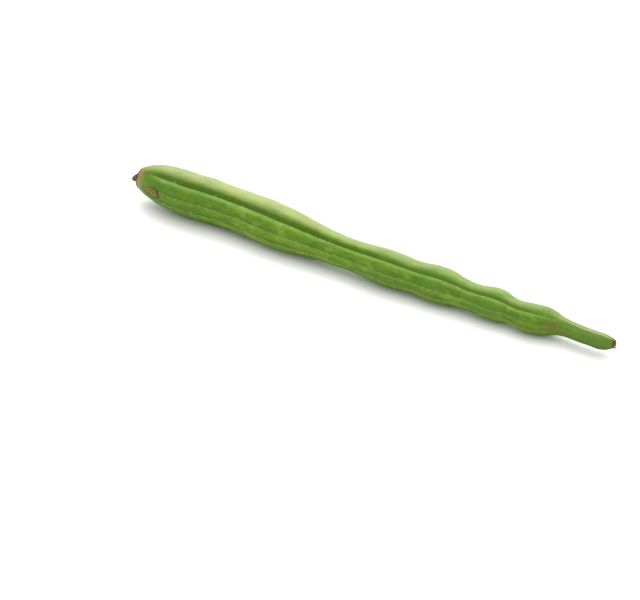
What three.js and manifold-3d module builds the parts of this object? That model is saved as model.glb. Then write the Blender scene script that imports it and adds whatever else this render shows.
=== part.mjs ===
// A drumstick pod: the long, nine-ribbed seed pod of the moringa tree, picked and lying on a table.
//
// The pod is one closed body that grew in one piece. Its outline runs from the dried stub of its
// stalk, over the round stem end and along a row of seed swellings, to a slim beak with a blunt tip.
// A lathe turns that outline. Each ring is then drawn in at the grooves between its ribs and moved
// aside by the pod's slight sway. The body is last laid on the table, where the skin gives a
// little under its weight.
//
// Millimetres, +Z up. X runs along the pod, with the stem end at -X and the beak at +X. The origin is
// on the table, under the middle of the pod's box.

import * as THREE from "three";
import { mergeVertices } from "three/addons/utils/BufferGeometryUtils.js";
import Module from "manifold-3d";

// Driving dimensions.
const podLength = 301.5; // from the end of the stalk stub to the tip of the beak
const bellyRadius = 13; // over the ribs, at the thickest swelling
const stubLength = 4.8; // dried stalk left standing out of the stem end
const stubRadius = 2.8; // the stub where it meets the collar
const collarRadius = 4.3; // the corky scar around the stub
const domeLength = 37; // from the collar to the first swelling
const beakLength = 24; // slim part past the last seed
const beakRadius = 4.3;
const tipLength = 12; // rounded end of the beak
const grooveDepth = 0.1; // of the grooves between the ribs, as a share of the radius
const tableFlat = 0.25; // how far the skin gives where the pod lies

// Crests of the ribs around the pod, in degrees from straight down, turning up over the back (+Y) side.
const ribAngles = [20, 61, 103, 145, 191, 237, 272, 304, 341];

// Seed swellings and the waists between them, in turn. "along" is a share of the seeded stretch, from
// the dome to the beak, and "girth" is a share of bellyRadius.
const girths = [
  { along: 0, girth: 1 },
  { along: 0.12, girth: 0.925 },
  { along: 0.213, girth: 0.96 },
  { along: 0.435, girth: 0.675 },
  { along: 0.556, girth: 0.765 },
  { along: 0.616, girth: 0.69 },
  { along: 0.674, girth: 0.765 },
  { along: 0.761, girth: 0.595 },
  { along: 0.817, girth: 0.68 },
  { along: 0.866, girth: 0.54 },
  { along: 0.908, girth: 0.605 },
];

// The pod's slight sway to either side, over its whole length.
const sways = [
  { along: 0, sideways: 0.6 },
  { along: 0.04, sideways: 3.2 },
  { along: 0.13, sideways: 2.2 },
  { along: 0.19, sideways: 2.9 },
  { along: 0.36, sideways: 0.1 },
  { along: 0.6, sideways: -2.1 },
  { along: 0.69, sideways: -1.4 },
  { along: 0.74, sideways: -2.1 },
  { along: 0.79, sideways: -1.6 },
  { along: 0.83, sideways: -3 },
  { along: 0.9, sideways: -0.7 },
  { along: 0.955, sideways: -1.9 },
  { along: 1, sideways: -0.3 },
];

// How fully the ribs stand out, from none at the collar to weak ones on the beak.
const ribStrengths = [
  { along: 0.01, strength: 0 },
  { along: 0.11, strength: 1 },
  { along: 0.8, strength: 1 },
  { along: 0.92, strength: 0.55 },
  { along: 1, strength: 0 },
];

// How finely the body is cut into flat facets.
const stepsPerRib = 4; // from one crest to the next
const stubSteps = 3;
const domeSteps = 9;
const seededSteps = 50;
const beakSteps = 2;
const tipSteps = 6;
const settlingTurns = 8; // tries at laying the pod level on its two lowest points
const tableSize = 2 * podLength; // a block larger than the pod, which trims the resting flats

const radians = THREE.MathUtils.degToRad;
const domeStart = stubLength;
const domeEnd = stubLength + domeLength;
const beakStart = podLength - beakLength;
const tipStart = podLength - tipLength;

// The value named key at a place along the list, eased so that every entry is a crest or a dip.
function easedAlong(list, along, key) {
  const after = list.findIndex((entry) => entry.along > along);
  if (after === 0) return list[0][key];
  if (after < 0) return list[list.length - 1][key];
  const [from, to] = [list[after - 1], list[after]];
  const ease = THREE.MathUtils.smoothstep(along, from.along, to.along);
  return THREE.MathUtils.lerp(from[key], to[key], ease);
}

// A quarter of an ellipse: 0 at the end of a rounded stretch, 1 where the stretch is full.
function roundedRise(share) {
  return Math.sqrt(Math.max(0, 1 - (1 - share) ** 2));
}

// Radius over the ribs at a station, measured from the end of the stub.
function crestRadius(station) {
  if (station >= tipStart) {
    return beakRadius * roundedRise((podLength - station) / tipLength);
  }
  if (station >= domeEnd) {
    const swelling = girths.map(({ along, girth }) => ({ along, radius: girth * bellyRadius }));
    const beak = { along: 1, radius: beakRadius };
    const along = (station - domeEnd) / (beakStart - domeEnd);
    return easedAlong([...swelling, beak], along, "radius");
  }
  const share = (station - domeStart) / domeLength;
  return THREE.MathUtils.lerp(collarRadius, bellyRadius, roundedRise(share));
}

// The outline that the lathe turns, as (radius, station) points from the stub to the tip.
function outline() {
  const points = [new THREE.Vector2(0, 0)];
  for (let i = 1; i <= stubSteps; i++) {
    const share = i / stubSteps;
    points.push(new THREE.Vector2(stubRadius * Math.sqrt(share), stubLength * share));
  }
  for (let i = 0; i <= domeSteps; i++) {
    const turned = (Math.PI / 2) * (i / domeSteps);
    const station = domeStart + domeLength * (1 - Math.cos(turned));
    points.push(new THREE.Vector2(crestRadius(station), station));
  }
  for (let i = 1; i <= seededSteps; i++) {
    const station = THREE.MathUtils.lerp(domeEnd, beakStart, i / seededSteps);
    points.push(new THREE.Vector2(crestRadius(station), station));
  }
  for (let i = 1; i <= beakSteps; i++) {
    const station = THREE.MathUtils.lerp(beakStart, tipStart, i / beakSteps);
    points.push(new THREE.Vector2(crestRadius(station), station));
  }
  for (let i = 1; i < tipSteps; i++) {
    const turned = (Math.PI / 2) * (i / tipSteps);
    const station = tipStart + tipLength * Math.sin(turned);
    points.push(new THREE.Vector2(crestRadius(station), station));
  }
  points.push(new THREE.Vector2(0, podLength));
  return points;
}

// The directions around the pod that its facets follow: the crest of each rib, and even steps to the
// next. The ribs are round, and meet in a sharp groove halfway. The depth is how far the skin lies
// inside the circle over the crests there, as a share of its radius.
function directions() {
  const found = [];
  ribAngles.forEach((angle, i) => {
    const next = ribAngles[i + 1] ?? ribAngles[0] + 360;
    for (let step = 0; step < stepsPerRib; step++) {
      const share = step / stepsPerRib;
      found.push({
        angle: radians(THREE.MathUtils.lerp(angle, next, share)),
        depth: grooveDepth * (1 - Math.abs(Math.cos(Math.PI * share))),
      });
    }
  });
  return [...found, found[0]];
}

// The turned outline, with its ribs, grooves and sway.
function ribbedBody() {
  const profile = outline();
  const around = directions();
  const body = new THREE.LatheGeometry(profile, around.length - 1);
  const position = body.getAttribute("position");
  for (let i = 0; i < position.count; i++) {
    const { x: crest, y: station } = profile[i % profile.length];
    const { angle, depth } = around[Math.floor(i / profile.length)];
    const along = station / podLength;
    const radius = crest * (1 - depth * easedAlong(ribStrengths, along, "strength"));
    const sideways = easedAlong(sways, along, "sideways");
    position.setXYZ(
      i,
      station - podLength / 2,
      sideways + radius * Math.sin(angle),
      -radius * Math.cos(angle),
    );
  }
  body.deleteAttribute("normal");
  body.deleteAttribute("uv");
  return mergeVertices(body);
}

// The lowest point of the body's stem half (side -1) or beak half (side 1).
function lowestPoint(body, side) {
  const position = body.getAttribute("position");
  const lowest = new THREE.Vector3(0, 0, Infinity);
  const point = new THREE.Vector3();
  for (let i = 0; i < position.count; i++) {
    point.fromBufferAttribute(position, i);
    if (point.x * side > 0 && point.z < lowest.z) lowest.copy(point);
  }
  return lowest;
}

// Tilts and lowers the body until the lowest points of its two halves lie on the table.
function layOnTable(body) {
  for (let i = 0; i < settlingTurns; i++) {
    const stem = lowestPoint(body, -1);
    const beak = lowestPoint(body, 1);
    body.rotateY(Math.atan2(beak.z - stem.z, beak.x - stem.x));
  }
  body.computeBoundingBox();
  const { min, max } = body.boundingBox;
  body.translate(-(min.x + max.x) / 2, -(min.y + max.y) / 2, -min.z - tableFlat);
}

// What the table takes off the underside, which leaves the flats that the pod lies on.
function trimByTable(body, wasm) {
  const table = new THREE.BoxGeometry(tableSize, tableSize, tableSize);
  table.translate(0, 0, -tableSize / 2);
  table.deleteAttribute("normal");
  table.deleteAttribute("uv");
  const [podSolid, tableSolid] = [body, mergeVertices(table)].map(
    (geometry) =>
      new wasm.Manifold(
        new wasm.Mesh({
          numProp: 3,
          vertProperties: geometry.getAttribute("position").array,
          triVerts: new Uint32Array(geometry.index.array),
        }),
      ),
  );
  const trimmed = podSolid.subtract(tableSolid).getMesh();
  return new THREE.BufferGeometry()
    .setAttribute("position", new THREE.BufferAttribute(trimmed.vertProperties, 3))
    .setIndex(new THREE.BufferAttribute(trimmed.triVerts, 1));
}

const wasm = await Module();
wasm.setup();

const body = ribbedBody();
layOnTable(body);

const freshSkin = new THREE.MeshStandardMaterial({ color: 0x7a9c4a, roughness: 0.45, metalness: 0 });
const pod = new THREE.Mesh(trimByTable(body, wasm), freshSkin);
pod.name = "pod";

const drumstickPod = new THREE.Group();
drumstickPod.add(pod);

export default drumstickPod;
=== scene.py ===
from functools import partial
from math import atan2, cos, pi, radians, sin, tau

import bpy
import numpy as np
from mathutils import Matrix, Vector


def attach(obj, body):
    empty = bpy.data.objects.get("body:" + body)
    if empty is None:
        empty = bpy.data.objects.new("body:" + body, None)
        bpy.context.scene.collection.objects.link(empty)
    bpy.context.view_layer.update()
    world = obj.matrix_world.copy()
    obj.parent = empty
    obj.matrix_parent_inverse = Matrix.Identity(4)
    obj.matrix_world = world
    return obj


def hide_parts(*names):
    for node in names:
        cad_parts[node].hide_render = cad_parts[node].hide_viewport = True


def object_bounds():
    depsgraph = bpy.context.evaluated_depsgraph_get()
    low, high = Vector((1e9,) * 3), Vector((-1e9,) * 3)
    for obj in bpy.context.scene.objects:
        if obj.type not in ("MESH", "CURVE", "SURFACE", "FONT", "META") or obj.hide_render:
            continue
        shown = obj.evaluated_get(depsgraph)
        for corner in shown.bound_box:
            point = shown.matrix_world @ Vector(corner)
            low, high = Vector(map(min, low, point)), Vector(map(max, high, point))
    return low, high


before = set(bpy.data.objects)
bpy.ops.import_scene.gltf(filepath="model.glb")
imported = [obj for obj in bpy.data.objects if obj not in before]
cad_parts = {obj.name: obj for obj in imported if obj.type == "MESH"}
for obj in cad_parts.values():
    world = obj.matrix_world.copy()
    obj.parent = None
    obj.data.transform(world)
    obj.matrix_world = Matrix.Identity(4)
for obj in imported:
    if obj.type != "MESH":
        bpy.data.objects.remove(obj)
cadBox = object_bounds()
print("frame loaded, CAD box", [tuple(round(v, 4) for v in corner) for corner in cadBox])


def toLinear(hexColour):
    # sRGB hex to the linear RGBA that shaders use
    channels = [int(hexColour[i:i + 2], 16) / 255 for i in (0, 2, 4)]
    return [c / 12.92 if c <= 0.04045 else ((c + 0.055) / 1.055) ** 2.4 for c in channels] + [1]


def addNode(tree, kind, inputs=(), **settings):
    # inputs, in order or by the names of their sockets: each is a value, a socket, or a node whose
    # first output is meant
    node = tree.nodes.new(kind)
    for name, value in settings.items():
        setattr(node, name, value)
    for key, value in inputs.items() if isinstance(inputs, dict) else enumerate(inputs):
        named = [s for s in node.inputs if s.enabled and s.name == key]
        socket = named[0] if named else node.inputs[key]
        if isinstance(value, bpy.types.Node):
            value = next(s for s in value.outputs if s.enabled)
        if isinstance(value, bpy.types.NodeSocket):
            tree.links.new(value, socket)
        else:
            socket.default_value = value
    return node


def setCurve(node, points, handles="AUTO_CLAMPED"):
    # points of a float curve, from left to right, eased by default so that none is overshot
    curve = node.mapping.curves[0]
    curve.points[0].location, curve.points[-1].location = points[0], points[-1]
    for x, y in points[1:-1]:
        curve.points.new(x, y)
    for point in curve.points:
        point.handle_type = handles
    node.mapping.update()
    return node


def startTree(name, values):
    # a Geometry Nodes tree with one named input for each value
    tree = bpy.data.node_groups.new(name, "GeometryNodeTree")
    tree.interface.new_socket("Geometry", in_out="OUTPUT", socket_type="NodeSocketGeometry")
    tree.interface.new_socket("Geometry", in_out="INPUT", socket_type="NodeSocketGeometry")
    kinds = {float: "Float", int: "Int", tuple: "Vector", bpy.types.Material: "Material"}
    for label, value in values.items():
        kind = "NodeSocket" + kinds[type(value)]
        tree.interface.new_socket(label, in_out="INPUT", socket_type=kind)
    return tree, tree.nodes.new("NodeGroupInput").outputs


def endTree(tree, geometry, material):
    real = addNode(tree, "GeometryNodeRealizeInstances", {"Geometry": geometry})
    smooth = addNode(tree, "GeometryNodeSetShadeSmooth", {"Geometry": real})
    painted = addNode(tree, "GeometryNodeSetMaterial", {"Geometry": smooth, "Material": material})
    addNode(tree, "NodeGroupOutput", {"Geometry": painted})
    return tree


def growMesh(name, tree, values):
    # runs the tree once and keeps its result as a plain mesh
    piece = bpy.data.objects.new(name, bpy.data.meshes.new(name))
    bpy.context.scene.collection.objects.link(piece)
    modifier = piece.modifiers.new(tree.name, "NODES")
    modifier.node_group = tree
    for socket in tree.interface.items_tree:
        if socket.in_out == "INPUT" and socket.name in values:
            modifier[socket.identifier] = values[socket.name]
    depsgraph = bpy.context.evaluated_depsgraph_get()
    grown = bpy.data.meshes.new_from_object(
        piece.evaluated_get(depsgraph), preserve_all_data_layers=True, depsgraph=depsgraph)
    piece.modifiers.clear()
    piece.data = grown
    grown.name = name
    print(f"{name}: {len(grown.vertices)} vertices, {len(grown.polygons)} faces")
    return piece


# Camera

cameraRig = {
    "azimuth": 32,  # degrees round from the front, towards the beak
    "elevation": 33,
    "distance": 0.952,
    "lens": 100,
    "lookAt": (-0.0101, -0.0234, -0.0098),
}


def makeCamera(rig):
    turn, tilt = radians(rig["azimuth"]), radians(rig["elevation"])
    back = Vector((sin(turn) * cos(tilt), -cos(turn) * cos(tilt), sin(tilt)))
    data = bpy.data.cameras.new("camera")
    data.lens = rig["lens"]
    camera = bpy.data.objects.new("camera", data)
    camera.location = Vector(rig["lookAt"]) + back * rig["distance"]
    camera.rotation_euler = (-back).to_track_quat("-Z", "Y").to_euler()
    bpy.context.scene.collection.objects.link(camera)
    bpy.context.scene.camera = camera


makeCamera(cameraRig)
print("camera placed")


# Skin of the fresh pod

skinLook = {
    "colours": {
        "ribGreen": "5b800e",
        # dark green of blotches and speckles, also the painted shade on each rib's lower half
        "darkGreenAndShade": "426807",
        # dark green of the seams and hatching, also the painted shade under the pod and in the seam
        # furrows
        "seamGreenAndShade": "3c6203",
        "coolGreen": "40701d",
        "yellowing": "637314",
        # lime of streaks, patches and the corky rib lines, also the painted highlight on the ribs' upper
        # edges
        "ribLimeAndHighlight": "88a23c",
        # pale of the painted highlight band along the top, where the light falls
        "highlightPale": "a0a564",
        "fleck": "a9b07f",
        "dash": "5a4a1a",
        "bruise": "656026",
        "cork": "8c7840",
        "collarPink": "8f7650",
        "bark": "5a3d1c",
        "scarOchre": "766708",
        "scarRim": "351f06",
        "beakGreen": "546f26",
        "beakBrown": "4f4216",
    },
    # Size of the features in metres, how far they are drawn out along the pod, and the values of the
    # noise that they fade in between. Streaks, hatching and speckles are finer on a real pod, and are
    # drawn coarse enough to show.
    "patterns": {
        "coolClouds": {"size": 0.024, "drawn": 2.2, "low": 0.45, "high": 0.7},
        "yellowClouds": {"size": 0.014, "drawn": 2.6, "low": 0.5, "high": 0.72},
        "streaks": {"size": 0.0011, "drawn": 14, "low": 0.5, "high": 0.72},
        "blotches": {"size": 0.0045, "drawn": 1.8, "detail": 4.0, "low": 0.5, "high": 0.64},
        "patches": {"size": 0.0060, "drawn": 1.6, "detail": 4.0, "low": 0.52, "high": 0.66},
        "flecks": {"size": 0.0012, "drawn": 1.6, "low": 0.6, "high": 0.68},
        "hatching": {"size": 0.0035, "drawn": 0.2, "low": 0.54, "high": 0.66},  # across the pod
        "speckles": {"size": 0.0012, "drawn": 1.4, "detail": 2.0, "low": 0.56, "high": 0.66},
        "dashes": {"size": 0.0011, "drawn": 3, "low": 0.52, "high": 0.6},
        "bruiseMottle": {"size": 0.0018, "drawn": 1.5, "detail": 5.0, "low": 0.3, "high": 0.5},
        "cracks": {"size": 0.0010, "drawn": 1.5, "detail": 5.0, "low": 0.48, "high": 0.62},
        "scarMottle": {"size": 0.0013, "low": 0.32, "high": 0.5},
    },
    # Distances with uneven edges: which one, how far the noise shifts it, and the noise's size and
    # how far that is drawn out, in metres
    "edges": {
        "raggedStem": ("station", 0.006, 0.0026, 1),
        "raggedTip": ("fromTip", 0.003, 0.0022, 1),
        "jaggedGroove": ("offGroove", 0.0014, 0.0013, 1.5),
    },
    # What each zone follows, and the values of that at which it has faded out and at which it is full
    "zones": {
        "palest": ("station", 0.22, 0.04),
        "stemEnd": ("station", 0.09, 0.02),
        "dashEnd": ("station", 0.085, 0.03),
        "cork": ("raggedStem", 0.0165, 0.0100),
        "collar": ("raggedStem", 0.0112, 0.0102),
        "bark": ("raggedStem", 0.0102, 0.0092),
        "pale": ("fromTip", 0.0, 0.05),
        "beak": ("fromTip", 0.045, 0.015),
        "driedTip": ("raggedTip", 0.0052, 0.0034),
        "brownTip": ("raggedTip", 0.0031, 0.0025),
        "fleckLine": ("offGroove", 0.0016, 0.0004),
        "dashLine": ("offGroove", 0.0014, 0.0006),
        "ribLine": ("jaggedGroove", 0.0016, 0.0009),
        "shadedLowerFlank": ("downhill", 0.45, 0.95),
        "litUpperLip": ("downhill", 0.42, 0.03),
        "seamShadeSide": ("downhill", 0.5, 0.6),
        "seamFlank": ("seam", 0.15, 0.5),
        "betweenCracks": ("cracks", 0.3, 0.0),
    },
    # What each weight follows, and what that is multiplied by and then raised by
    "weights": {
        # paler sets how strong the painted highlight band is, strongest towards the stem; blotches and
        # speckles thin out under it
        "paler": ("palest", 0.47, 0.17),
        "fewerBlotches": ("sunSide", -0.45, 0.65),
        "fewerSpeckles": ("sunSide", -0.35, 0.6),
        # darkerBeak sets how strong the painted shade under the pod is, strongest on the beak
        "darkerBeak": ("beak", 0.7, 0.25),
    },
    # From the bottom up: a colour, how strong it is, and everything that it has to lie in
    "layers": [
        # painted shade: each rib darker on its lower, downward-facing half
        ("darkGreenAndShade", 0.8, ["shadedLowerFlank", "ribFade"]),
        ("coolGreen", 0.6, ["coolClouds"]),
        ("yellowing", 0.65, ["yellowClouds"]),
        # painted highlight: the pale band along the top where the light falls
        ("highlightPale", 1.0, ["sunSide", "paler", "pale"]),
        ("ribLimeAndHighlight", 0.18, ["streaks"]),
        ("darkGreenAndShade", 1.0, ["blotches", "fewerBlotches"]),
        ("ribLimeAndHighlight", 0.38, ["patches"]),
        # darker green by the valve seams: the suture's own colour, with painted shade on the
        # downward-facing side of the furrow
        ("seamGreenAndShade", 0.85, ["seamFlank", "seamShadeSide", "ribFade"]),
        ("darkGreenAndShade", 0.28, ["stemEnd"]),
        ("beakGreen", 0.7, ["beak"]),
        # painted highlight: a pale line along the beak's top edge
        ("highlightPale", 0.6, ["beakRidge", "beak"]),
        # painted shade: everything facing down darker, most of all under the beak
        ("seamGreenAndShade", 1.0, ["below", "darkerBeak"]),
        # painted highlight: each rib paler along its upper, lit edge, and the corky line there brighter
        # too
        ("ribLimeAndHighlight", 0.3, ["litUpperLip", "ribFade"]),
        ("ribLimeAndHighlight", 0.5, ["ribLine", "litUpperLip", "ribFade"]),
        ("fleck", 0.4, ["flecks", "fleckLine", "ribFade"]),
        ("seamGreenAndShade", 0.5, ["hatching", "shadedLowerFlank", "ribFade"]),
        ("darkGreenAndShade", 1.0, ["speckles", "fewerSpeckles"]),
        ("dash", 0.7, ["dashes", "dashLine", "underSide", "dashEnd"]),
        ("bruise", 0.75, ["bruise", "bruiseMottle"]),
        ("cork", 0.8, ["cork"]),
        ("collarPink", 0.9, ["collar"]),
        ("bark", 1.0, ["bark"]),
        ("scarRim", 0.6, ["bark", "cracks"]),
        ("cork", 0.2, ["bark", "betweenCracks"]),
        ("bruise", 0.5, ["driedTip"]),
        ("beakBrown", 1.0, ["brownTip"]),
        ("scarRim", 0.85, ["scarRim"]),
        ("scarRim", 0.6, ["scar"]),
        ("scarOchre", 1.0, ["scar", "scarMottle"]),
    ],
}

# What the body's tree stores on the skin for its colours to follow: distances in metres, and shares
storedMarks = [
    "station", "fromTip", "offGroove", "downhill", "seam", "ribFade", "sunSide", "underSide", "scar",
    "scarRim", "bruise", "beakRidge", "below",
]


def paintSkin(look):
    # Moringa pod skin: living epidermis under a thin natural wax, so a soft satin sheen over
    # saturated green, with pale corky lines along the ribs and dry bark at both ends
    # light and shade are painted into the colour too: a pale highlight band along the top, paler upper
    # edges and darker lower halves of the ribs, and a darker underside
    material = bpy.data.materials.new("waxyMoringaPodSkin")
    material.use_nodes = True
    tree = material.node_tree
    tree.nodes.clear()
    add = partial(addNode, tree)
    place = add("ShaderNodeTexCoord").outputs["Object"]

    def cloud(size, drawn=1, detail=3.0):
        spread = add("ShaderNodeMapping", {"Vector": place, "Scale": (1 / drawn, 1, 1)})
        return add("ShaderNodeTexNoise", {"Vector": spread, "Scale": 1 / size, "Detail": detail})

    # everything that a layer can lie in, by name
    found = {name: add("ShaderNodeAttribute", attribute_name=name).outputs["Fac"]
             for name in storedMarks}
    for name, shape in look["patterns"].items():
        noise = cloud(shape["size"], shape.get("drawn", 1), shape.get("detail", 3.0))
        found[name] = add("ShaderNodeMapRange", [noise, shape["low"], shape["high"]],
                          interpolation_type="SMOOTHSTEP")
    for name, (follows, shift, size, drawn) in look["edges"].items():
        found[name] = add("ShaderNodeMath", [cloud(size, drawn), shift, found[follows]],
                          operation="MULTIPLY_ADD")
    for name, (follows, faded, full) in look["zones"].items():
        found[name] = add("ShaderNodeMapRange", [found[follows], faded, full],
                          interpolation_type="SMOOTHSTEP")
    for name, (follows, factor, rise) in look["weights"].items():
        found[name] = add("ShaderNodeMath", [found[follows], factor, rise], operation="MULTIPLY_ADD")

    colour = toLinear(look["colours"]["ribGreen"])
    for name, strength, within in look["layers"]:
        share = strength
        for area in within:
            share = add("ShaderNodeMath", [found[area], share], operation="MULTIPLY")
        colour = add("ShaderNodeMix", {"Factor": share, "A": colour,
                                       "B": toLinear(look["colours"][name])}, data_type="RGBA")

    # gloss, and bumps of pores, fibres and the corky lines; the pores are drawn coarse enough to show
    ribLine = found["ribLine"]
    for area in ("litUpperLip", "ribFade"):
        ribLine = add("ShaderNodeMath", [ribLine, found[area]], operation="MULTIPLY")
    shine = add("ShaderNodeMapRange", {"Value": cloud(0.004), "From Min": 0.3, "From Max": 0.7,
                                       "To Min": 0.40, "To Max": 0.55})
    pores = add("ShaderNodeBump", {"Strength": 0.3, "Distance": 0.0003, "Height": cloud(0.0009)})
    grain = add("ShaderNodeBump", {"Strength": 0.3, "Distance": 0.0003, "Height": cloud(0.0012, 14),
                                   "Normal": pores})
    corky = add("ShaderNodeBump", {"Strength": 0.5, "Distance": 0.0003, "Height": ribLine,
                                   "Normal": grain})
    skin = add("ShaderNodeBsdfPrincipled",
               {"Base Color": colour, "Roughness": shine, "IOR": 1.42, "Specular IOR Level": 0.28,
                "Normal": corky})
    add("ShaderNodeOutputMaterial", {"Surface": skin})
    return material


# Body of the pod

podSize = {
    "Start X": cadBox[0].x,
    "Length": cadBox[1].x - cadBox[0].x,
    "Belly Radius": 0.013,
    "Stub Length": 0.0048,
    "Stub Radius": 0.0034,
    "Collar Radius": 0.0043,
    "Collar Rim": 0.0006,
    "Stub Droop": 0.0013,
    "Dome Length": 0.037,
    "Tip Length": 0.0095,
    "Sway Width": 0.0035,
    "Groove Depth": 0.085,  # share of the radius
    "Seam Depth": 0.085,  # what a seam adds to that
    "Crest Rise": 0.8,  # below 1 moves the crest of each rib up towards its upper groove
    "Groove Wander": 0.012,  # share of a turn, over a few centimetres
    "Groove Jitter": 0.0035,  # the same, over a few millimetres
    "Broad Lumps": 0.0016,
    "Fine Lumps": 0.00022,
    "Fibre Ridges": 0.00012,
    "Bark Ridges": 0.0014,
    "Scar Station": 0.0186,  # of each mark: where it is, and half its size
    "Scar Angle": radians(270),
    "Scar Length": 0.0063,
    "Scar Width": 0.0027,
    "Scuff Station": 0.0160,
    "Scuff Angle": radians(317),
    "Scuff Length": 0.0105,
    "Scuff Width": 0.0009,
    "Bruise Station": 0.2676,
    "Bruise Angle": radians(250),
    "Bruise Length": 0.0050,
    "Bruise Width": 0.0034,
    "Rub Station": 0.2745,
    "Rub Angle": radians(274),
    "Rub Length": 0.0036,
    "Rub Width": 0.0009,
    "Beak Highlight Angle": radians(184),
    "Highlight Angle": radians(150),
    "Highlight Turn": radians(34),  # how far the painted highlight band turns towards the front by the beak
    "Row Crowding": 0.5,  # how much closer the rows stand at the two ends
    "Rows": 420,
    "Columns": 231,
    "Seed": 4.0,
}

# Grooves between the nine ribs, in degrees from straight down and up over the back
grooveAngles = [40, 82, 125, 165, 217, 258, 287, 322, 360]

# Shares of the length, and of the belly radius: seed swellings and the waists between them
podGirth = [
    (0, 1), (0.144, 1), (0.237, 0.925), (0.31, 0.96), (0.482, 0.675), (0.576, 0.765),
    (0.622, 0.69), (0.667, 0.765), (0.735, 0.595), (0.778, 0.68), (0.816, 0.54),
    (0.849, 0.605), (0.91, 0.362), (0.955, 0.335), (1, 0.33),
]

# Sideways sway along the length, as shares of the sway width
podSway = [
    (0, 0.17), (0.04, 0.91), (0.13, 0.63), (0.19, 0.83), (0.36, 0.03), (0.6, -0.6), (0.69, -0.4),
    (0.74, -0.6), (0.79, -0.46), (0.83, -0.86), (0.9, -0.2), (0.955, -0.54), (1, -0.09),
]

# How fully the ribs stand out along the length
ribStrength = [
    (0, 0), (0.016, 0), (0.06, 0.6), (0.11, 1), (0.35, 1), (0.55, 0.78), (0.8, 0.72), (0.9, 0.2),
    (1, 0),
]

# How fully they stand out round the pod: the upper back has filled out between its ribs
ribFullness = [(0, 1), (0.37, 1), (0.43, 0.25), (0.52, 0.25), (0.562, 1), (1, 1)]

# How the painted highlight band turns along the length, as shares of the highlight turn
highlightTurning = [(0, 0.44), (0.1, 0.41), (0.3, 0.38), (0.42, 0.18), (0.54, 0.33), (0.65, 0.66), (1, 1)]


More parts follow.
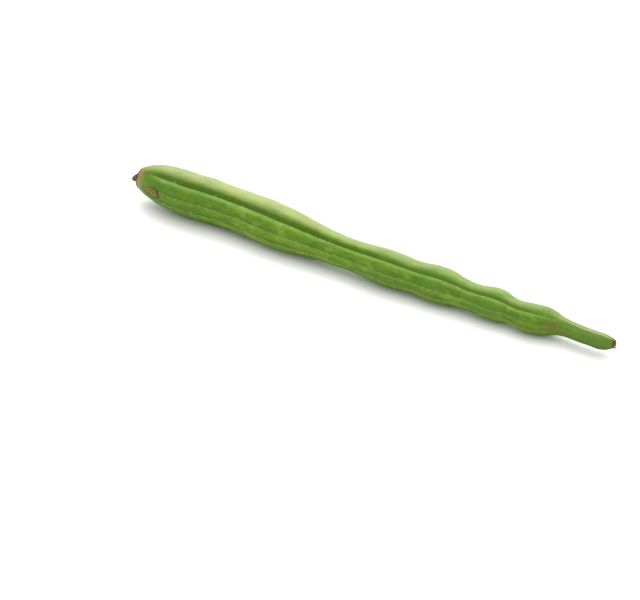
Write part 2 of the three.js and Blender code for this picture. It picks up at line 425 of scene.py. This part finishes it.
def growPodTree(values):
    tree, given = startTree("growPod", values)
    add = partial(addNode, tree)

    # place of each point: share of the length, station along it and angle round it
    grid = add("GeometryNodeMeshGrid", {"Size X": 1, "Size Y": 1, "Vertices X": given["Rows"],
                                        "Vertices Y": given["Columns"]})
    spot = add("ShaderNodeSeparateXYZ", {0: add("GeometryNodeInputPosition")})
    row = add("ShaderNodeMath", [spot.outputs["X"], 0.5], operation="ADD")
    around = add("ShaderNodeMath", [spot.outputs["Y"], 0.5], operation="ADD")
    wave = add("ShaderNodeMath", [
        add("ShaderNodeMath", [row, tau], operation="MULTIPLY")], operation="SINE")
    share = add("ShaderNodeMath", [
        wave,
        add("ShaderNodeMath", [given["Row Crowding"], -1 / tau], operation="MULTIPLY"),
        row], operation="MULTIPLY_ADD")
    station = add("ShaderNodeMath", [share, given["Length"]], operation="MULTIPLY")
    fromTip = add("ShaderNodeMath", [given["Length"], station], operation="SUBTRACT")
    angle = add("ShaderNodeMath", [around, tau], operation="MULTIPLY")
    sine = add("ShaderNodeMath", [angle], operation="SINE")
    cosine = add("ShaderNodeMath", [angle], operation="COSINE")

    # radius over the ribs: stub, collar and dome, then the swellings, then the rounded tip
    def roundedRise(distance, reach):
        rest = add("ShaderNodeMath", [
            1.0,
            add("ShaderNodeMath", [
                distance, reach], operation="DIVIDE", use_clamp=True)], operation="SUBTRACT")
        return add("ShaderNodeMath", [
            add("ShaderNodeMath", [
                1.0,
                add("ShaderNodeMath", [
                    rest, rest], operation="MULTIPLY")], operation="SUBTRACT")], operation="SQRT")

    girth = setCurve(add("ShaderNodeFloatCurve", {"Value": share}), podGirth)
    swelling = add("ShaderNodeMath", [girth, given["Belly Radius"]], operation="MULTIPLY")
    pastStub = add("ShaderNodeMath", [station, given["Stub Length"]], operation="SUBTRACT")
    dome = roundedRise(pastStub, given["Dome Length"])
    cone = add("ShaderNodeMath", [
        add("ShaderNodeMath", [station, given["Stub Length"]], operation="DIVIDE", use_clamp=True),
        0.42], operation="POWER")
    stub = add("ShaderNodeMath", [cone, given["Stub Radius"]], operation="MULTIPLY")
    ledge = add("ShaderNodeMath", [given["Collar Radius"], given["Stub Radius"]], operation="SUBTRACT")
    collar = add("ShaderNodeMath", [
        add("ShaderNodeMapRange", [pastStub, -0.0003, 0.0004], interpolation_type="SMOOTHSTEP"), ledge,
        stub], operation="MULTIPLY_ADD")
    outer = add("ShaderNodeMix", {"Factor": dome, "A": collar, "B": swelling}, data_type="FLOAT")
    crest = add("ShaderNodeMath", [outer, roundedRise(fromTip, given["Tip Length"])], operation="MULTIPLY")

    # noise on the unribbed skin, in metres, so that it meets itself at the seam
    def skinNoise(size, stretch, detail=2.0):
        point = add("ShaderNodeCombineXYZ", {
            "X": add("ShaderNodeMath", [station, 1 / stretch], operation="MULTIPLY"),
            "Y": add("ShaderNodeMath", [crest, sine], operation="MULTIPLY"),
            "Z": add("ShaderNodeMath", [crest, cosine], operation="MULTIPLY")})
        noise = add("ShaderNodeTexNoise", {"Vector": point, "W": given["Seed"], "Scale": 1 / size,
                                           "Detail": detail}, noise_dimensions="4D")
        return add("ShaderNodeMath", [noise, 0.5], operation="SUBTRACT")

    # ribs: rounded lobes that meet in sharp grooves, which wander a little. acrossRib counts from 0
    # at one groove to 1 at the next one round, and downhill from a rib's upper groove to its lower one
    drift = add("ShaderNodeMath", [
        skinNoise(0.03, 1.6), given["Groove Wander"], around], operation="MULTIPLY_ADD")
    drift = add("ShaderNodeMath", [
        skinNoise(0.0025, 1.4), given["Groove Jitter"], drift], operation="MULTIPLY_ADD")
    ribCount = len(grooveAngles)
    firstCrest = (grooveAngles[0] + grooveAngles[-1] - 360) / 2
    topCrest = (grooveAngles[3] + grooveAngles[4]) / 2
    counting = [((groove - firstCrest) / 360, (i + 0.5) / ribCount)
                for i, groove in enumerate(grooveAngles)]
    turn = add("ShaderNodeMath", [
        add("ShaderNodeMath", [drift, firstCrest / 360], operation="SUBTRACT")], operation="FRACT")
    counter = setCurve(add("ShaderNodeFloatCurve", {"Value": turn}), [(0, 0), *counting, (1, 1)],
                       "VECTOR")
    acrossRib = add("ShaderNodeMath", [
        add("ShaderNodeMath", [
            counter, float(ribCount), 0.5], operation="MULTIPLY_ADD")], operation="FRACT")
    inFront = add("ShaderNodeMath", [drift, topCrest / 360], operation="GREATER_THAN")
    downhill = add("ShaderNodeMix", {
        "Factor": inFront,
        "A": add("ShaderNodeMath", [1.0, acrossRib], operation="SUBTRACT"),
        "B": acrossRib}, data_type="FLOAT")
    lobe = add("ShaderNodeMath", [
        add("ShaderNodeMath", [
            add("ShaderNodeMath", [downhill, given["Crest Rise"]], operation="POWER"),
            pi], operation="MULTIPLY")], operation="SINE")
    depth = add("ShaderNodeMath", [
        add("ShaderNodeMath", [1.0, lobe], operation="SUBTRACT"),
        given["Groove Depth"]], operation="MULTIPLY")

    # every third groove is a seam between two of the pod's three valves, and cuts deeper
    valves = 3
    seamReach = 0.4 / (ribCount / valves)  # share of a valve, so 0.4 of a rib to either side
    acrossValve = add("ShaderNodeMath", [
        add("ShaderNodeMath", [counter, float(valves)], operation="MULTIPLY")], operation="FRACT")
    toSeam = add("ShaderNodeMath", [
        add("ShaderNodeMath", [acrossValve, 0.5], operation="SUBTRACT")], operation="ABSOLUTE")
    seam = add("ShaderNodeMapRange", {"Value": toSeam, "From Min": seamReach, "From Max": 0.0})
    depth = add("ShaderNodeMath", [seam, given["Seam Depth"], depth], operation="MULTIPLY_ADD")
    fullness = setCurve(add("ShaderNodeFloatCurve", {"Value": around}), ribFullness)
    strength = setCurve(add("ShaderNodeFloatCurve", {"Value": share}), ribStrength)
    strength = add("ShaderNodeMath", [strength, fullness], operation="MULTIPLY")
    sunk = add("ShaderNodeMath", [
        1.0,
        add("ShaderNodeMath", [depth, strength], operation="MULTIPLY")], operation="SUBTRACT")
    toGroove = add("ShaderNodeMath", [
        0.5,
        add("ShaderNodeMath", [
            add("ShaderNodeMath", [
                acrossRib, 0.5], operation="SUBTRACT")], operation="ABSOLUTE")], operation="SUBTRACT")
    offGroove = add("ShaderNodeMath", [
        toGroove,
        add("ShaderNodeMath", [crest, tau / ribCount], operation="MULTIPLY")], operation="MULTIPLY")

    # marks: a healed scar by the stem end, scuffed beside it, and a bruise and a rub by the last seed
    def spotDistance(spot, fuzz, taper=0.0):
        # 0 in the middle of the spot and 1 at its edge, which the fuzz makes ragged and the taper
        # draws in towards the stem
        width = given[spot + " Width"]
        along = add("ShaderNodeMath", [station, given[spot + " Station"]], operation="SUBTRACT")
        along = add("ShaderNodeMath", [along, given[spot + " Length"]], operation="DIVIDE")
        turned = add("ShaderNodeMath", [
            add("ShaderNodeMath", [angle, given[spot + " Angle"]], operation="SUBTRACT"),
            crest], operation="MULTIPLY")
        reach = add("ShaderNodeMath", [
            add("ShaderNodeMath", [along, taper, 1.0], operation="MULTIPLY_ADD"),
            width], operation="MULTIPLY")
        reach = add("ShaderNodeMath", [
            reach,
            add("ShaderNodeMath", [width, 0.25], operation="MULTIPLY")], operation="MAXIMUM")
        flat = add("ShaderNodeCombineXYZ", {
            "X": along,
            "Y": add("ShaderNodeMath", [turned, reach], operation="DIVIDE")})
        distance = add("ShaderNodeVectorMath", {0: flat}, operation="LENGTH").outputs["Value"]
        return add("ShaderNodeMath", [skinNoise(0.003, 1.0), fuzz, distance], operation="MULTIPLY_ADD")

    scarDistance = spotDistance("Scar", fuzz=0.8, taper=0.5)
    scar = add("ShaderNodeMapRange", [scarDistance, 1.0, 0.8], interpolation_type="SMOOTHSTEP")
    # the rim of the scar is darkest at the end towards the beak
    scarEnd = add("ShaderNodeMapRange", [station, 0.0160, 0.0215], interpolation_type="SMOOTHSTEP")
    scarRim = add("ShaderNodeMapRange", [
        add("ShaderNodeMath", [
            add("ShaderNodeMath", [scarDistance, 1.04], operation="SUBTRACT")], operation="ABSOLUTE"),
        0.27, 0.06], interpolation_type="SMOOTHSTEP")
    scarRim = add("ShaderNodeMath", [
        scarRim,
        add("ShaderNodeMath", [scarEnd, 0.75, 0.25], operation="MULTIPLY_ADD")], operation="MULTIPLY")
    scuff = add("ShaderNodeMapRange", [
        spotDistance("Scuff", fuzz=1.6), 1.1, 0.5], interpolation_type="SMOOTHSTEP")
    scarRim = add("ShaderNodeMath", [
        scarRim,
        add("ShaderNodeMath", [scuff, 0.6], operation="MULTIPLY")], operation="MAXIMUM")
    bruise = add("ShaderNodeMapRange", [
        spotDistance("Bruise", fuzz=1.2), 1.15, 0.6], interpolation_type="SMOOTHSTEP")
    rub = add("ShaderNodeMapRange", [
        spotDistance("Rub", fuzz=1.0), 1.2, 0.4], interpolation_type="SMOOTHSTEP")
    bruise = add("ShaderNodeMath", [bruise, rub], operation="MAXIMUM")

    # sides of the pod: the lower front; everything below, painted darker as shade; the beak's top edge,
    # painted pale as a highlight; and the band along the top where the light falls, painted pale as a
    # highlight
    underSide = add("ShaderNodeMapRange", [
        angle, radians(236), radians(252)], interpolation_type="SMOOTHSTEP")
    # painted shade on everything facing down
    below = add("ShaderNodeMapRange", [cosine, -0.35, 0.5], interpolation_type="SMOOTHSTEP")
    # painted highlight along the top edge of the beak
    offBeakHighlight = add("ShaderNodeMath", [
        add("ShaderNodeMath", [
            angle, given["Beak Highlight Angle"]], operation="SUBTRACT")], operation="ABSOLUTE")
    beakRidge = add("ShaderNodeMapRange", [
        offBeakHighlight, radians(14), radians(4)], interpolation_type="SMOOTHSTEP")
    # painted highlight: the band along the top that the light falls on, turning towards the front by the
    # beak
    turning = setCurve(add("ShaderNodeFloatCurve", {"Value": share}), highlightTurning)
    highlightAngle = add("ShaderNodeMath", [
        turning, given["Highlight Turn"], given["Highlight Angle"]], operation="MULTIPLY_ADD")
    towardHighlight = add("ShaderNodeMath", [
        add("ShaderNodeMath", [angle, highlightAngle], operation="SUBTRACT")], operation="COSINE")
    sunSide = add("ShaderNodeMapRange", [
        add("ShaderNodeMath", [skinNoise(0.01, 2.0), 0.2, towardHighlight], operation="MULTIPLY_ADD"), 0.65,
        0.87], interpolation_type="SMOOTHSTEP")

    # what lifts or sinks the skin, fading out where the body closes
    bark = add("ShaderNodeMath", [
        add("ShaderNodeMapRange", [station, 0.006, 0.002], interpolation_type="SMOOTHSTEP"),
        add("ShaderNodeMapRange", [
            fromTip, 0.0035, 0.001], interpolation_type="SMOOTHSTEP")], operation="ADD")
    rim = add("ShaderNodeMath", [
        add("ShaderNodeMapRange", [
            add("ShaderNodeMath", [
                add("ShaderNodeMath", [pastStub, 0.0007], operation="SUBTRACT")], operation="ABSOLUTE"),
            0.0009, 0.0], interpolation_type="SMOOTHSTEP"),
        given["Collar Rim"]], operation="MULTIPLY")
    roughBark = add("ShaderNodeMath", [skinNoise(0.0011, 3.0), bark], operation="MULTIPLY")
    layers = [
        (skinNoise(0.016, 1.8), given["Broad Lumps"]),
        (skinNoise(0.0022, 2.5), given["Fine Lumps"]),
        (skinNoise(0.0013, 16.0), given["Fibre Ridges"]),
        (roughBark, given["Bark Ridges"]),
        (scar, -0.0003),
        (scarRim, 0.0002),
    ]
    relief = rim
    for shape, height in layers:
        relief = add("ShaderNodeMath", [shape, height, relief], operation="MULTIPLY_ADD")
    closingRadius = 0.0015
    closing = add("ShaderNodeMath", [crest, closingRadius], operation="DIVIDE", use_clamp=True)
    radius = add("ShaderNodeMath", [
        relief, closing,
        add("ShaderNodeMath", [crest, sunk], operation="MULTIPLY")], operation="MULTIPLY_ADD")

    # sway and droop; a float curve holds 0 to 1, so the sway from -1 to 1 is packed into that
    lean = setCurve(add("ShaderNodeFloatCurve", {"Value": share}),
                    [(x, y / 2 + 0.5) for x, y in podSway])
    lean = add("ShaderNodeMath", [lean, 2.0, -1.0], operation="MULTIPLY_ADD")
    sideways = add("ShaderNodeMath", [lean, given["Sway Width"]], operation="MULTIPLY")
    hanging = add("ShaderNodeMath", [cone, 1.0], operation="SUBTRACT")
    droop = add("ShaderNodeMath", [hanging, given["Stub Droop"]], operation="MULTIPLY")
    point = add("ShaderNodeCombineXYZ", {
        "X": add("ShaderNodeMath", [station, given["Start X"]], operation="ADD"),
        "Y": add("ShaderNodeMath", [radius, sine, sideways], operation="MULTIPLY_ADD"),
        "Z": add("ShaderNodeMath", [
            add("ShaderNodeMath", [radius, cosine], operation="MULTIPLY"), -1.0,
            droop], operation="MULTIPLY_ADD")})

    # what the skin's colours follow, worked out on the grid and so stored before its points move
    marks = {"station": station, "fromTip": fromTip, "offGroove": offGroove, "downhill": downhill,
             "seam": seam, "ribFade": strength, "sunSide": sunSide, "underSide": underSide,
             "scar": scar, "scarRim": scarRim, "bruise": bruise, "beakRidge": beakRidge,
             "below": below}
    geometry = grid.outputs["Mesh"]
    for name in storedMarks:
        geometry = add("GeometryNodeStoreNamedAttribute",
                       {"Geometry": geometry, "Name": name, "Value": marks[name]},
                       data_type="FLOAT", domain="POINT")
    placed = add("GeometryNodeSetPosition", {"Geometry": geometry, "Position": point})
    weld = 0.000002  # closes the seam under the pod and the two poles
    closed = add("GeometryNodeMergeByDistance", {"Geometry": placed, "Distance": weld})
    outward = add("GeometryNodeFlipFaces", {"Mesh": closed})
    return endTree(tree, outward, given["Skin"])


def layOnTable(mesh, give=0.00025, tries=8):
    # tilts the pod about Y until both halves touch, sinks it by what the skin gives, and flattens
    # the skin there; returns the move, so that what is fixed to the pod can follow it
    points = np.empty(len(mesh.vertices) * 3)
    mesh.vertices.foreach_get("co", points)
    points = points.reshape(-1, 3)
    move = Matrix.Identity(4)
    for _ in range(tries):
        stem, beak = (points[points[:, 0] * side > 0] for side in (-1, 1))
        low, far = stem[stem[:, 2].argmin()], beak[beak[:, 2].argmin()]
        turn = Matrix.Rotation(atan2(far[2] - low[2], far[0] - low[0]), 4, "Y")
        points = points @ np.array(turn.to_3x3()).T
        move = turn @ move
    low, high = points.min(0), points.max(0)
    shift = Vector((-(low[0] + high[0]) / 2, -(low[1] + high[1]) / 2, -low[2] - give))
    points = points + np.array(shift)
    points[:, 2] = points[:, 2].clip(min=0)
    mesh.vertices.foreach_set("co", points.ravel())
    mesh.update()
    return Matrix.Translation(shift) @ move


podSkin = paintSkin(skinLook)
podValues = {**podSize, "Skin": podSkin}
pod = growMesh("freshPod", growPodTree(podValues), podValues)
podMove = layOnTable(pod.data)
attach(pod, "root")
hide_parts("pod")
print("pod laid on the table")


# Dry fibres where the stalk broke off and at the tip of the beak

fibreBunches = {
    "stalkFibres": {
        "Count": 14, "Spread": 0.0011, "Fibre Length": 0.0014, "Fibre Radius": 0.00024, "Splay": 0.4,
        "Base": (podSize["Start X"] + 0.0010, podSway[0][1] * podSize["Sway Width"],
                 -podSize["Stub Droop"]),
        "Direction": (-1.0, 0.0, -0.25), "Seed": 3,
    },
    "beakFibres": {
        "Count": 16, "Spread": 0.0010, "Fibre Length": 0.0018, "Fibre Radius": 0.00034, "Splay": 0.6,
        "Base": (podSize["Start X"] + podSize["Length"] - 0.0008,
                 podSway[-1][1] * podSize["Sway Width"] - 0.0007, -0.0009),
        "Direction": (1.0, -0.2, -0.25), "Seed": 8,
    },
}

fibreShape = {
    "sides": 7,
    "segments": 3,
    "tipRadius": 0.00003,
    "shortest": 0.5,  # shares of the fibre length
    "longest": 1.1,
}


def paintFibre(name, dark, pale):
    # Dead plant fibre, dried to matt straw that is darker where it stayed damp
    material = bpy.data.materials.new(name)
    material.use_nodes = True
    tree = material.node_tree
    tree.nodes.clear()
    add = partial(addNode, tree)
    place = add("ShaderNodeTexCoord").outputs["Object"]
    blots = add("ShaderNodeTexNoise", {"Vector": place, "Scale": 1 / 0.0007, "Detail": 2.0})
    share = add("ShaderNodeMapRange", {"Value": blots, "From Min": 0.35, "From Max": 0.6})
    colour = add("ShaderNodeMix", {"Factor": share, "A": toLinear(dark), "B": toLinear(pale)},
                 data_type="RGBA")
    rough = add("ShaderNodeBump", {"Strength": 0.4, "Distance": 0.0001, "Height": blots})
    fibre = add("ShaderNodeBsdfPrincipled", {"Base Color": colour, "Roughness": 0.85, "IOR": 1.5,
                                             "Specular IOR Level": 0.3, "Normal": rough})
    add("ShaderNodeOutputMaterial", {"Surface": fibre})
    return material


def growFibreTree(values, shape):
    tree, given = startTree("growFibres", values)
    add = partial(addNode, tree)

    def scattered(step):
        # a random direction for each fibre
        seed = add("ShaderNodeMath", {0: given["Seed"], 1: float(step)}, operation="ADD")
        return add("FunctionNodeRandomValue", {"Min": (-1, -1, -1), "Max": (1, 1, 1), "Seed": seed},
                   data_type="FLOAT_VECTOR")

    def moved(vector, length, start):
        # start, moved by the vector at this length
        return add("ShaderNodeVectorMath", {0: vector, 1: add("ShaderNodeCombineXYZ", {
            "X": length, "Y": length, "Z": length}), 2: start}, operation="MULTIPLY_ADD")

    points = add("GeometryNodePoints", {
        "Count": given["Count"], "Position": moved(scattered(0), given["Spread"], given["Base"])})
    pointing = add("FunctionNodeAlignRotationToVector", {
        "Vector": moved(scattered(1), given["Splay"], given["Direction"])}, axis="Z")
    tapered = add("GeometryNodeMeshCone", {
        "Vertices": shape["sides"], "Side Segments": shape["segments"],
        "Radius Top": shape["tipRadius"], "Radius Bottom": given["Fibre Radius"],
        "Depth": given["Fibre Length"]})
    growth = add("FunctionNodeRandomValue", {
        "Min": shape["shortest"], "Max": shape["longest"], "Seed": given["Seed"]},
        data_type="FLOAT")
    bunch = add("GeometryNodeInstanceOnPoints", {
        "Points": points, "Instance": tapered, "Rotation": pointing, "Scale": growth})
    return endTree(tree, bunch, given["Fibre"])


fibreLooks = {
    "stalkFibres": paintFibre("driedStalkFibre", "3f2716", "7c5a34"),
    "beakFibres": paintFibre("driedBeakFibre", "8a6f4f", "cfc3ab"),
}
for bunchName, bunchSize in fibreBunches.items():
    bunchValues = {**bunchSize, "Fibre": fibreLooks[bunchName]}
    bunch = growMesh(bunchName, growFibreTree(bunchValues, fibreShape), bunchValues)
    bunch.data.transform(podMove)
    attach(bunch, "root")


# Floor and studio light

studio = {
    "floorHalfWidth": 4.0,
    "floorWhite": "fafafa",
    "floorRoughness": 0.9,
    "worldStrength": 0.9,
    "lamps": [
        # name, place, size, watts
        ("highBack", (-0.4, 1.15, 1.0), 2.0, 36.0),
        ("overhead", (0.1, 0.1, 1.6), 2.0, 12.0),
    ],
}


def makeStudio(look):
    half = look["floorHalfWidth"]
    mesh = bpy.data.meshes.new("floor")
    mesh.from_pydata([(-half, -half, 0), (half, -half, 0), (half, half, 0), (-half, half, 0)],
                     [], [(0, 1, 2, 3)])
    floor = bpy.data.objects.new("floor", mesh)
    bpy.context.scene.collection.objects.link(floor)
    material = bpy.data.materials.new("mattWhiteSweep")
    material.use_nodes = True
    shader = material.node_tree.nodes["Principled BSDF"]
    shader.inputs["Base Color"].default_value = toLinear(look["floorWhite"])
    shader.inputs["Roughness"].default_value = look["floorRoughness"]
    shader.inputs["Specular IOR Level"].default_value = 0
    mesh.materials.append(material)

    world = bpy.data.worlds.new("studioWhite")
    world.use_nodes = True
    world.node_tree.nodes["Background"].inputs["Color"].default_value = (1, 1, 1, 1)
    world.node_tree.nodes["Background"].inputs["Strength"].default_value = look["worldStrength"]
    bpy.context.scene.world = world
    for name, place, size, watts in look["lamps"]:
        lamp = bpy.data.lights.new(name, "AREA")
        lamp.size = size
        lamp.energy = watts
        holder = bpy.data.objects.new(name, lamp)
        holder.location = place
        holder.rotation_euler = Vector(place).to_track_quat("Z", "Y").to_euler()
        bpy.context.scene.collection.objects.link(holder)
    bpy.context.scene.view_settings.view_transform = "Standard"


makeStudio(studio)
print("studio lit")
